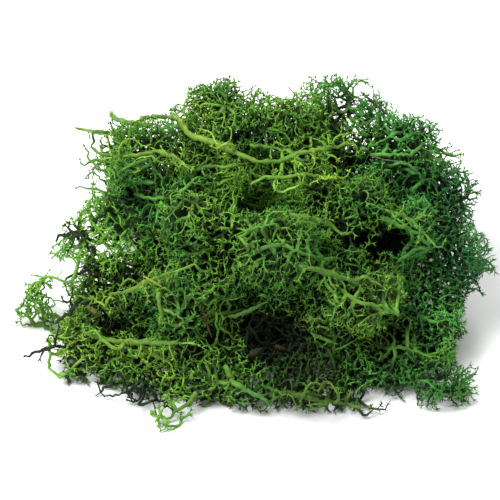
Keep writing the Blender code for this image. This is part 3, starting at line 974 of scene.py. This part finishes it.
def draw(thicket, depth, under, look, rng):
    """Rods for every twig of a thicket, and its prongs, collected for one mesh.

    depth, under the clump's open face, sets how much painted shade a twig's colour gets, and
    under, below the nearest hollow as well, how thick.
    """
    radius = thickness_of(thicket, under, look.tip)
    age = np.clip((radius - look.tip) / (THICKEST - look.tip), 0, 1)
    # The depth fact is the share of the shade colour in each twig: painted shade, plus the sunk of
    # its look.
    sunk = np.clip(depth + look.sunk, 0, DEEPEST) / DEEPEST
    # Given branches are painted darker by BRANCH_LIGHT: painted shade.
    light = np.where(thicket.given > 0, look.light * BRANCH_LIGHT, look.light)
    facts = np.stack([age, sunk, np.full(len(age), look.tone), light], axis=1)
    facts[: look.pale, 2] = PALE_TONE
    bundles = {}
    for chain in chains_of(thicket, radius):
        radii = radius[chain].copy()
        if thicket.parent[chain[1]] == chain[0] and radii[0] > radii[1] * 1.3:
            radii[0] = radii[1]
        radii[-1] *= BLUNT_END
        sides = 3 if under[chain].min() > PLAIN_DEPTH else sides_for(radii.max())
        bundles.setdefault(sides, []).append((thicket.at[chain], radii, facts[chain]))
    draft = Draft()
    for sides, bundle in sorted(bundles.items()):
        draft.add(*rods(bundle, sides, rng))
    draft.add(*prongs_of(thicket, radius, facts, under, look.tip + 0.03, rng))
    return draft


# ---- materials


def feed(tree, target, inputs):
    """Sets inputs of a shader node, each to a value or to the socket that drives it."""
    for key, value in inputs.items():
        socket = target.inputs[key]
        if isinstance(value, bpy.types.NodeSocket):
            tree.links.new(value, socket)
        else:
            socket.default_value = (*value, 1) if isinstance(value, tuple) else value


def node(tree, kind, inputs, **settings):
    made = tree.nodes.new(kind)
    for key, value in settings.items():
        setattr(made, key, value)
    feed(tree, made, inputs)
    return made


def mixed(tree, blend, factor, first, second):
    """A colour mix. Each of factor, first and second is a socket or a plain value."""
    inputs = {0: factor, 6: first, 7: second}
    return node(tree, "ShaderNodeMix", inputs, data_type="RGBA", blend_type=blend).outputs[2]


def sums(tree, operation, first, second, clamp=False):
    inputs = {0: first, 1: second}
    made = node(tree, "ShaderNodeMath", inputs, operation=operation, use_clamp=clamp)
    return made.outputs[0]


def noise(tree, scale, detail=2.0):
    where = node(tree, "ShaderNodeTexCoord", {}).outputs["Object"]
    inputs = {"Scale": scale, "Detail": detail, "Vector": where}
    return node(tree, "ShaderNodeTexNoise", inputs).outputs["Fac"]


def fact(tree, title):
    return node(tree, "ShaderNodeAttribute", {}, attribute_name=title).outputs["Fac"]


def ramp(tree, factor, stops):
    made = node(tree, "ShaderNodeValToRGB", {"Fac": factor})
    elements = made.color_ramp.elements
    while len(elements) < len(stops):
        elements.new(0.5)
    for element, (position, colour) in zip(elements, stops):
        element.position = position
        element.color = (*colour, 1)
    return made.outputs["Color"]


def surface(tree, colour, specular, rough, scale, distance, strength=0.6):
    """Gives the material its colour, and one grain for its roughness and its bumps."""
    grain = noise(tree, scale, 3)
    spread = {"To Min": rough[0], "To Max": rough[1], "Value": grain}
    bump = {"Strength": strength, "Distance": distance, "Height": grain}
    inputs = {
        "Base Color": colour,
        "Specular IOR Level": specular,
        "Roughness": node(tree, "ShaderNodeMapRange", spread).outputs["Result"],
        "Normal": node(tree, "ShaderNodeBump", bump).outputs["Normal"],
    }
    feed(tree, tree.nodes["Principled BSDF"], inputs)


def new_material(name):
    material = bpy.data.materials.new(name)
    material.use_nodes = True
    return material, material.node_tree


def lichen_material():
    material, tree = new_material("lichen")
    patch = sums(tree, "MULTIPLY", sums(tree, "SUBTRACT", noise(tree, 55), 0.5), 0.9)
    green = ramp(tree, sums(tree, "ADD", fact(tree, "tone"), patch), GREENS)
    aged = mixed(tree, "MIX", sums(tree, "MULTIPLY", fact(tree, "age"), 0.2), green, OLD)
    speck = sums(tree, "ADD", sums(tree, "MULTIPLY", noise(tree, 420), 1.5), 0.25)
    lit = mixed(tree, "MULTIPLY", 1.0, aged, speck)
    lit = mixed(tree, "MULTIPLY", 1.0, lit, fact(tree, "light"))
    pale = sums(tree, "MULTIPLY", fact(tree, "tone"), -0.5, clamp=True)
    lit = mixed(tree, "MIX", pale, lit, BLEACHED)
    deep = ramp(tree, fact(tree, "depth"), [(at, (share,) * 3) for at, share in SHADE_SHARES])
    surface(tree, mixed(tree, "MIX", deep, lit, SHADE), 0.18, (0.5, 0.75), 900, 0.00012)
    return material


def litter_material(name, colour):
    material, tree = new_material(name)
    dark = tuple(channel * 0.5 for channel in colour)
    light = tuple(min(1, channel * 1.5) for channel in colour)
    patch = ramp(tree, noise(tree, 700, 3), [(0.3, dark), (0.7, light)])
    surface(tree, patch, 0.2, (0.6, 0.85), 1500, 0.0001)
    return material


def floor_material():
    material, tree = new_material("floor")
    colour = ramp(tree, noise(tree, 3), [(0.3, (0.90,) * 3), (0.7, (0.94,) * 3)])
    surface(tree, colour, 0.1, (0.8, 0.95), 40, 0.0001, 0.1)
    return material


# ---- pieces


def add_object(name, data, at=(0, 0, 0), facing=None):
    made = bpy.data.objects.new(name, data)
    made.location = at
    if facing is not None:
        made.rotation_mode = "QUATERNION"
        made.rotation_quaternion = Vector(facing).to_track_quat("Z", "Y")
    bpy.context.scene.collection.objects.link(made)
    return made


def add_piece(name, draft, material, slot, *stands_for):
    mesh = draft.mesh(name)
    mesh.materials.append(material)
    piece = add_object(name, mesh)
    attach(piece, "root")
    if stands_for:
        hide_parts(*stands_for)
    return piece


def grow_tuft(name, solid, air, tree, hollows, bunches, stems, material):
    look = LOOKS.get(name, BACK_LOOK)
    rng = random_for(name)
    flat_at = (solid.low + solid.high) / 2 if look.is_fan() else None
    lines = [
        branch_line(route, thickness, end_thickness, tree, flat_at, rng)
        for thickness, end_thickness, route in BRANCHES.get(name, [])
    ]
    buds, depth, spacing = buds_in(solid, look, air, hollows, bunches, stems + lines, rng)
    thicket = Thicket()
    for points, radii in lines:
        thicket.add_line(points, radii, rng)
    thicket.add_roots(roots_of(buds, depth, 2 if look.is_fan() else 5, rng))
    grow(thicket, buds, spacing, hollows, rng)
    at = thicket.at
    # How deep a twig lies under the open face sets its painted shade and, with the hollows, its
    # thickness; near the ground it counts deeper, for painted shade near the ground.
    depth = air.depth(at) + open_reach(at)
    near_ground = 1 - smoothstep(at[:, 2], 0, FOOT_HEIGHT)
    depth += FOOT_DEPTH * near_ground * smoothstep(depth, -1.5, 1)
    depth = np.minimum(depth, 0 if look.is_fan() else slab_depth(at, solid, look))
    under = np.minimum(depth, past_hollows(at, hollows) + 0.5)
    draft = draw(thicket, depth, under, look, rng)
    return add_piece(name + "_twigs", draft, material, "lichen_tufts", name)


def grow_from_line(line, look, tree, rng):
    """A branch with side twigs, which run on past its ends where the clump lies behind."""
    points, radii = line
    thicket = Thicket()
    thicket.add_line(points, radii, rng)
    count = int(len(points) * LINE_STEP * SIDE_BUDS)
    buds = points[rng.integers(0, len(points), count)]
    offset = unit(rng.normal(size=(count, 3))) * rng.uniform(1.5, SIDE_REACH, (count, 1))
    offset[(offset @ TOWARD) < -2] *= -1
    buds = buds + offset
    for end, before in ((points[-1], points[-3]), (points[0], points[2])):
        way = unit(end - before)
        ahead = rng.uniform(1, END_REACH, (END_BUDS, 1))
        aside = unit(rng.normal(size=(END_BUDS, 3))) * ahead * rng.uniform(0, 0.6, (END_BUDS, 1))
        buds = np.r_[buds, end + way * ahead + aside]
    back = Vector(-TOWARD)
    backed = [tree.ray_cast(Vector(bud), back, BACKED_REACH)[0] is not None for bud in buds]
    buds = buds[(buds[:, 2] > LOWEST_TWIG) & backed]
    grow(thicket, buds, np.full(len(buds), SIDE_SPACING), [], rng)
    depth = np.zeros(len(thicket.at))
    return draw(thicket, depth, depth, look, rng)


def grow_stem(name, line, tree, material):
    _, _, tone, light, _ = STEMS[name]
    look = Look(tone, light, tip=STEM_TIP, pale=PALE_POINTS.get(name, 0))
    draft = grow_from_line(line, look, tree, random_for(name))
    return add_piece(name + "_forked", draft, material, "lichen_stems", name)


def grow_dark_twig(name, thickness, route, tree, material):
    """A dead twig that sticks out of the clump's edge."""
    rng = random_for(name)
    line = branch_line(route, thickness, thickness * 0.6, tree, None, rng)
    return add_piece(name, grow_from_line(line, DARK_LOOK, tree, rng), material, "lichen_tufts")


def lichen_points(pieces):
    """Search tree over the corners of the grown lichen."""
    corners = np.concatenate([corners_of(piece.data) for piece in pieces])
    points = KDTree(len(corners))
    for index, corner in enumerate(corners):
        points.insert(corner, index)
    points.balance()
    return points


def let_down(corners, lichen):
    """The corners of a loose piece, moved away from the viewer until they touch the lichen."""
    probes = corners[::3]
    for step in np.arange(0, SETTLE_REACH, SETTLE_STEP):
        shift = -TOWARD * step
        if min(lichen.find(probe + shift)[2] for probe in probes) < TOUCH:
            return corners + shift
    return corners


def add_litter(name, nodes, lichen, colour, corners, *facts_and_faces):
    draft = Draft()
    draft.add(let_down(corners, lichen), *facts_and_faces)
    stands_for = [name] if name in nodes else []
    add_piece(name + "_fine", draft, litter_material(name, colour), "litter", *stands_for)


def add_needle(name, nodes, tree, lichen):
    thickness, colour, route = NEEDLES[name]
    rng = random_for(name)
    flat = even_steps(route, LITTER_STEP)
    if name in nodes:
        depths = depths_of(nodes[name], flat)
    else:
        depths = smoothed(np.array([depth_on(tree, *spot) for spot in flat]), 6) + LITTER_LIFT
    points = placed(flat, depths)
    share = np.linspace(-1, 1, len(points))
    radii = thickness / 2 * (1 - 0.7 * share**4) * rng.uniform(0.9, 1.1, len(points))
    rod = rods([(points, radii, np.zeros((len(points), 4)))], 6, rng)
    add_litter(name, nodes, lichen, colour, *rod)


def add_scrap(name, nodes, tree, lichen):
    """A thin scrap with a ragged edge, slightly cupped."""
    length, width, turn, colour, (right, up) = SCRAPS[name]
    rng = random_for(name)
    if name in nodes:
        depth = depths_of(nodes[name], np.array([[right, up]]))[0]
    else:
        depth = depth_on(tree, right, up) + 0.5
    middle = place(right, up, depth)
    way = RIGHT * math.cos(math.radians(turn)) + UP * math.sin(math.radians(turn))
    side = unit(np.cross(TOWARD, way) + TOWARD * 0.35)
    face = np.cross(way, side)
    angle = np.arange(SCRAP_EDGE) * 2 * math.pi / SCRAP_EDGE
    cos, sin = np.cos(angle)[:, None], np.sin(angle)[:, None]
    ragged = rng.uniform(0.78, 1.08, SCRAP_EDGE)[:, None]
    ring = way * (cos * length / 2) + side * (sin * width / 2)
    ring = middle + ring * ragged + face * (0.12 * length * cos**2)
    corners = np.r_[ring, [middle + face * 0.15, middle - face * 0.15]]
    first = np.arange(SCRAP_EDGE)
    after = (first + 1) % SCRAP_EDGE
    upper = np.stack([first, after, np.full(SCRAP_EDGE, SCRAP_EDGE)], axis=1)
    lower = np.stack([after, first, np.full(SCRAP_EDGE, SCRAP_EDGE + 1)], axis=1)
    facts = np.zeros((len(corners), 4))
    add_litter(name, nodes, lichen, colour, corners, facts, upper, lower)


def add_floor():
    low, high = -FLOOR_HALF, FLOOR_HALF
    mesh = bpy.data.meshes.new("floor")
    corners = [(low, low, 0), (high, low, 0), (high, high, 0), (low, high, 0)]
    mesh.from_pydata(corners, [], [(0, 1, 2, 3)])
    mesh.materials.append(floor_material())
    floor = add_object("floor", mesh)


def add_lamp(name, at, size, power):
    data = bpy.data.lights.new(name, "AREA")
    data.size = size
    data.energy = power
    add_object(name, data, at, at)


def add_camera():
    data = bpy.data.cameras.new("camera")
    data.sensor_width = SENSOR_WIDTH
    data.lens = SENSOR_WIDTH * CAMERA_DISTANCE / FRAME_WIDTH
    data.clip_start = 0.1
    data.clip_end = 20
    at = place(*FRAME_MIDDLE, CAMERA_DISTANCE) * MM
    bpy.context.scene.camera = add_object("camera", data, at, TOWARD)


def set_the_stage():
    scene = bpy.context.scene
    scene.view_settings.view_transform = "Standard"
    scene.world = bpy.data.worlds.new("studio")
    scene.world.use_nodes = True
    tree = scene.world.node_tree
    feed(tree, tree.nodes["Background"], {"Color": (1, 1, 1), "Strength": WORLD_LIGHT})
    add_floor()
    for name, lamp in LAMPS.items():
        add_lamp(name, *lamp)
    add_camera()


def main():
    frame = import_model()
    solids, tree = load_solids(frame["nodes"])
    lichen = lichen_material()
    rng = np.random.default_rng(SEED)
    lines = {
        name: stem_line(frame["nodes"][name], route, thickness, end_thickness, rng)
        for name, (thickness, end_thickness, _, _, route) in STEMS.items()
    }
    air = Air(list(solids.values()))
    hollows = [
        (place(right, up, depth_on(tree, right, up)), half_width, half_height, depth)
        for right, up, half_width, half_height, depth in HOLLOWS
    ]
    bunches = {name: [] for name in solids}
    for right, up, radius, *lift in BUNCHES:
        middle = place(right, up, depth_on(tree, right, up) + sum(lift) - 1)
        owner = min(solids, key=lambda name: solids[name].height(middle[None])[0])
        bunches[owner].append((middle, radius))
    grown = [
        grow_tuft(name, solid, air, tree, hollows, bunches[name], list(lines.values()), lichen)
        for name, solid in solids.items()
    ]
    grown += [grow_stem(name, line, tree, lichen) for name, line in lines.items()]
    for name, (thickness, route) in DARK_TWIGS.items():
        grow_dark_twig(name, thickness, route, tree, lichen)
    laid_on = lichen_points(grown)
    for name in NEEDLES:
        add_needle(name, frame["nodes"], tree, laid_on)
    for name in SCRAPS:
        add_scrap(name, frame["nodes"], tree, laid_on)
    set_the_stage()


main()
